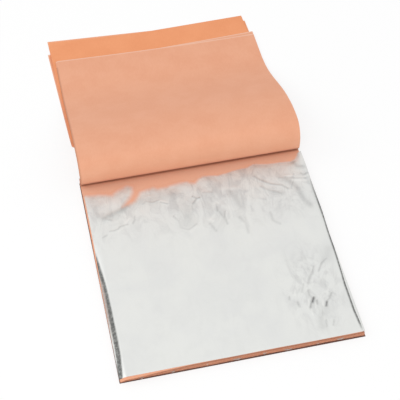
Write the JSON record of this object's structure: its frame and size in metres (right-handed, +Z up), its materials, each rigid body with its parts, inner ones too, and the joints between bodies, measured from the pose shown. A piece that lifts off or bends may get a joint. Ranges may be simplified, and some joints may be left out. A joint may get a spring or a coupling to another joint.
{
  "type": "metal leaf booklet",
  "caption": "Open booklet of metal leaf: silver leaves between peach tissue pages, stapled, with the used pages and an orange cover turned back over the crease.",
  "frame": {"origin": "on the table under the middle of the crease between the open halves", "axes": "+Z up, +X along the crease to the right, -Y over the block of unused pages towards its front edge, +Y over the pages that are turned back"},
  "size_m": [0.1446, 0.2804, 0.0263],
  "materials": {
    "metal_leaf": "beaten leaf, satin, finely creased",
    "tissue": "matt peach tissue",
    "fly_paper": "matt orange paper",
    "cover_paper": "matt orange cover paper",
    "staple_wire": "drawn wire"
  },
  "bodies": {
    "root": {"back_cover": "cover_paper", "page_22": "tissue", "leaf_22": "metal_leaf", "page_21": "tissue", "leaf_21": "metal_leaf", "page_20": "tissue", "leaf_20": "metal_leaf", "page_19": "tissue", "leaf_19": "metal_leaf", "page_18": "tissue", "leaf_18": "metal_leaf", "page_17": "tissue", "leaf_17": "metal_leaf", "page_16": "tissue", "leaf_16": "metal_leaf", "page_15": "tissue", "leaf_15": "metal_leaf", "page_14": "tissue", "leaf_14": "metal_leaf", "page_13": "tissue", "leaf_13": "metal_leaf", "page_12": "tissue", "leaf_12": "metal_leaf", "page_11": "tissue", "leaf_11": "metal_leaf", "page_10": "tissue", "leaf_10": "metal_leaf", "page_09": "tissue", "leaf_09": "metal_leaf", "page_08": "tissue", "leaf_08": "metal_leaf", "page_07": "tissue", "leaf_07": "metal_leaf", "page_06": "tissue", "leaf_06": "metal_leaf", "page_05": "tissue", "leaf_05": "metal_leaf", "page_04": "tissue", "leaf_04": "metal_leaf", "page_03": "tissue", "leaf_03": "metal_leaf", "page_02": "tissue", "leaf_02": "metal_leaf", "page_01": "tissue", "leaf_01": "metal_leaf", "top_page_root": "tissue", "staples": "staple_wire", "front_cover_fold": "cover_paper", "fly_sheet_1_fold": "fly_paper", "fly_sheet_2_fold": "fly_paper", "turned_page_1_fold": "tissue", "turned_page_2_fold": "tissue"},
    "top_gutter": {"top_page_gutter": "tissue"},
    "top_page": {"top_page": "tissue"},
    "top_leaf": {"top_leaf": "metal_leaf"},
    "front_cover": {"front_cover": "cover_paper"},
    "fly_sheet_1": {"fly_sheet_1": "fly_paper"},
    "fly_sheet_2": {"fly_sheet_2": "fly_paper"},
    "turned_page_1": {"turned_page_1": "tissue"},
    "turned_page_2": {"turned_page_2": "tissue"}
  },
  "joints": [
    {"name": "front_cover_hinge", "type": "hinge", "parent": "root", "child": "front_cover", "pos_m": [0, -0.00028, 0.0032], "axis": [1, 0, 0], "range_deg": [0, 179.9], "deforming": ["front_cover_fold"]},
    {"name": "fly_sheet_1_hinge", "type": "hinge", "parent": "root", "child": "fly_sheet_1", "pos_m": [0, -0.001, 0.0032], "axis": [1, 0, 0], "range_deg": [0, 179.9], "deforming": ["fly_sheet_1_fold"]},
    {"name": "fly_sheet_2_hinge", "type": "hinge", "parent": "root", "child": "fly_sheet_2", "pos_m": [0, -0.00173, 0.0032], "axis": [1, 0, 0], "range_deg": [0, 179.9], "deforming": ["fly_sheet_2_fold"]},
    {"name": "turned_page_1_hinge", "type": "hinge", "parent": "root", "child": "turned_page_1", "pos_m": [0, -0.01092, 0.0032], "axis": [1, 0, 0], "range_deg": [0, 179.9], "deforming": ["turned_page_1_fold"]},
    {"name": "turned_page_2_hinge", "type": "hinge", "parent": "root", "child": "turned_page_2", "pos_m": [0, -0.01163, 0.0032], "axis": [1, 0, 0], "range_deg": [0, 179.9], "deforming": ["turned_page_2_fold"]},
    {"name": "gutter_hinge", "type": "hinge", "parent": "root", "child": "top_gutter", "pos_m": [0, -0.001, 0.0174], "axis": [-1, 0, 0], "range_deg": [0, 95.75]},
    {"name": "top_page_hinge", "type": "hinge", "parent": "top_gutter", "child": "top_page", "pos_m": [0, -0.001, 0.0174], "axis": [-1, 0, 0], "range_deg": [0, 95.75]},
    {"name": "top_leaf_slide", "type": "slide", "parent": "top_page", "child": "top_leaf", "axis": [-1, 0, 0], "range_m": [0, 0.15]}
  ],
  "couplings": [
    {"joint": "fly_sheet_1_hinge", "follows": "front_cover_hinge", "ratio": 1},
    {"joint": "fly_sheet_2_hinge", "follows": "front_cover_hinge", "ratio": 1},
    {"joint": "turned_page_1_hinge", "follows": "front_cover_hinge", "ratio": 1},
    {"joint": "turned_page_2_hinge", "follows": "front_cover_hinge", "ratio": 1}
  ]
}
